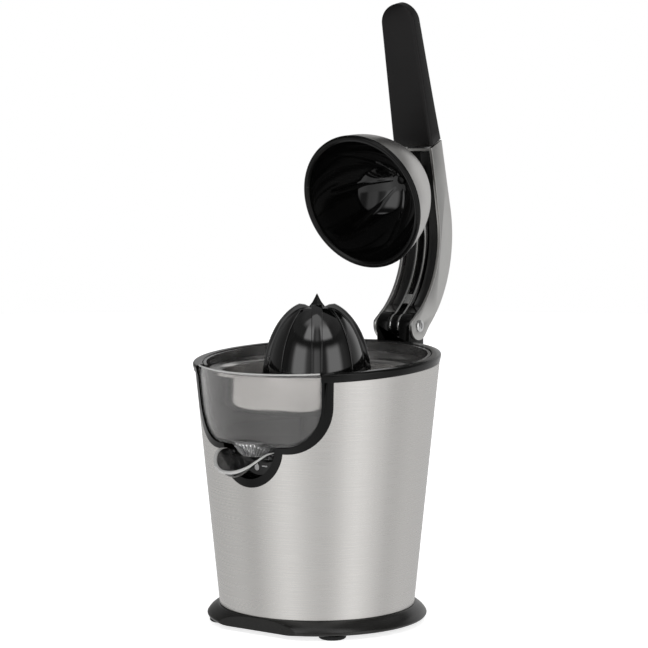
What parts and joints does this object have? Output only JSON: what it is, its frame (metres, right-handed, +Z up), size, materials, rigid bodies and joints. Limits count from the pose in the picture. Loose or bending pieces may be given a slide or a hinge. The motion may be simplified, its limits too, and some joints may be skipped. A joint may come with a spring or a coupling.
{
  "type": "citrus press",
  "caption": "Lever-arm citrus press: conical steel body with a clear juice bowl and spout, fluted reamer on a motor gearbox, and a hinged arm carrying a domed press cup.",
  "frame": {"origin": "bottom centre of the whole object's bounding box, on the table under the feet", "axes": "+Z up along the reamer's axis, -Y to the front where the window and the spout are, +Y to the arm's hinge, +X to the right as seen from behind"},
  "size_m": [0.1846, 0.2664, 0.4634],
  "materials": {
    "steel_body": "brushed, warm light grey",
    "satin_metal": "satin, bead-blasted",
    "black_gloss": "gloss black",
    "black_satin": "satin black",
    "grip_black": "matte black soft-touch",
    "smoke_clear": "clear, lightly smoked plastic",
    "rubber": "matte black",
    "inner_plastic": "dark grey moulding",
    "gear_plastic": "natural acetal",
    "zinc_steel": "zinc plated",
    "copper": "enamelled copper wire",
    "brass": "turned brass"
  },
  "bodies": {
    "housing": {"base_ring": "black_satin", "bottom_cover": "inner_plastic", "cover_screw_1": "zinc_steel", "cover_screw_2": "zinc_steel", "cover_screw_3": "zinc_steel", "foot_front_left": "rubber", "foot_front_right": "rubber", "foot_rear_left": "rubber", "foot_rear_right": "rubber", "cord_inlet_bush": "rubber", "body_shell": "steel_body", "top_frame": "black_satin", "recess_panel": "black_gloss", "inner_barrel": "inner_plastic", "juice_bowl": "smoke_clear", "strainer": "steel_body", "upper_bush": "brass", "shaft_seal": "rubber", "gearbox_tray": "inner_plastic", "gearbox_lid": "inner_plastic", "idler_axle": "zinc_steel", "motor_stator": "zinc_steel", "motor_winding": "copper", "motor_can": "zinc_steel", "motor_end_cap": "zinc_steel", "micro_switch": "black_satin", "hinge_bracket": "black_satin", "bracket_screw_lower": "zinc_steel", "bracket_screw_upper": "zinc_steel", "spout_pin_left": "zinc_steel", "spout_pin_right": "zinc_steel"},
    "press_carriage": {"press_collar": "gear_plastic", "return_spring": "zinc_steel"},
    "drive_spindle": {"drive_shaft": "zinc_steel"},
    "ream_cone": {"reamer": "black_gloss"},
    "output_wheel": {"output_gear": "gear_plastic"},
    "idler_wheel": {"idler_gear": "gear_plastic"},
    "motor_armature": {"motor_rotor": "zinc_steel", "motor_shaft": "zinc_steel", "motor_pinion": "brass"},
    "switch_arm": {"switch_lever": "zinc_steel"},
    "pouring_spout": {"spout": "smoke_clear"},
    "press_arm": {"arm_plate_left": "satin_metal", "arm_plate_right": "satin_metal", "arm_channel": "black_satin", "arm_rail": "steel_body", "rail_spacer": "zinc_steel", "hinge_pin": "zinc_steel", "pivot_screw_left": "zinc_steel", "pivot_screw_right": "zinc_steel", "handle_core": "zinc_steel", "handle_grip": "grip_black", "handle_collar": "satin_metal", "cup_carrier": "black_satin", "cup_pin": "zinc_steel"},
    "press_cup": {"cup_shell": "satin_metal", "cup_liner": "black_gloss", "cup_seal_ring": "black_satin", "cup_hub": "black_satin", "liner_screw": "zinc_steel"}
  },
  "joints": [
    {"name": "arm_hinge", "type": "hinge", "parent": "housing", "child": "press_arm", "pos_m": [0, 0.08682, 0.2128], "axis": [-1, 0, 0], "range_deg": [-73.3, 0]},
    {"name": "cup_tilt", "type": "hinge", "parent": "press_arm", "child": "press_cup", "pos_m": [0, 0.10021, 0.32965], "axis": [1, 0, 0], "range_deg": [-3, 3]},
    {"name": "press_slide", "type": "slide", "parent": "housing", "child": "press_carriage", "axis": [0, 0, -1], "range_m": [0, 0.0025], "stiffness_N_per_m": 1200, "springref_m": -0.004, "deforming": ["return_spring"]},
    {"name": "spindle_spin", "type": "hinge", "parent": "press_carriage", "child": "drive_spindle", "pos_m": [0, -0.02398, 0.15], "axis": [0, 0, 1], "continuous": true},
    {"name": "reamer_lift", "type": "slide", "parent": "drive_spindle", "child": "ream_cone", "axis": [0, 0, 1], "range_m": [0, 0.06]},
    {"name": "output_spin", "type": "hinge", "parent": "housing", "child": "output_wheel", "pos_m": [0, -0.02398, 0.105], "axis": [0, 0, 1], "continuous": true},
    {"name": "idler_spin", "type": "hinge", "parent": "housing", "child": "idler_wheel", "pos_m": [0, 0.00802, 0.1], "axis": [0, 0, 1], "continuous": true},
    {"name": "motor_spin", "type": "hinge", "parent": "housing", "child": "motor_armature", "pos_m": [-0.01601, -0.01092, 0.06], "axis": [0, 0, 1], "continuous": true},
    {"name": "switch_lever_pivot", "type": "hinge", "parent": "housing", "child": "switch_arm", "pos_m": [0.037, -0.02398, 0.1242], "axis": [0, -1, 0], "range_deg": [0, 6.6]},
    {"name": "spout_tilt", "type": "hinge", "parent": "housing", "child": "pouring_spout", "pos_m": [0, -0.10548, 0.1315], "axis": [-1, 0, 0], "range_deg": [0, 20]}
  ],
  "couplings": [
    {"joint": "output_spin", "follows": "spindle_spin", "ratio": 1},
    {"joint": "idler_spin", "follows": "spindle_spin", "ratio": -5.4},
    {"joint": "motor_spin", "follows": "spindle_spin", "ratio": 22.5},
    {"joint": "switch_lever_pivot", "follows": "press_slide", "rad_per_m": 45.4}
  ]
}
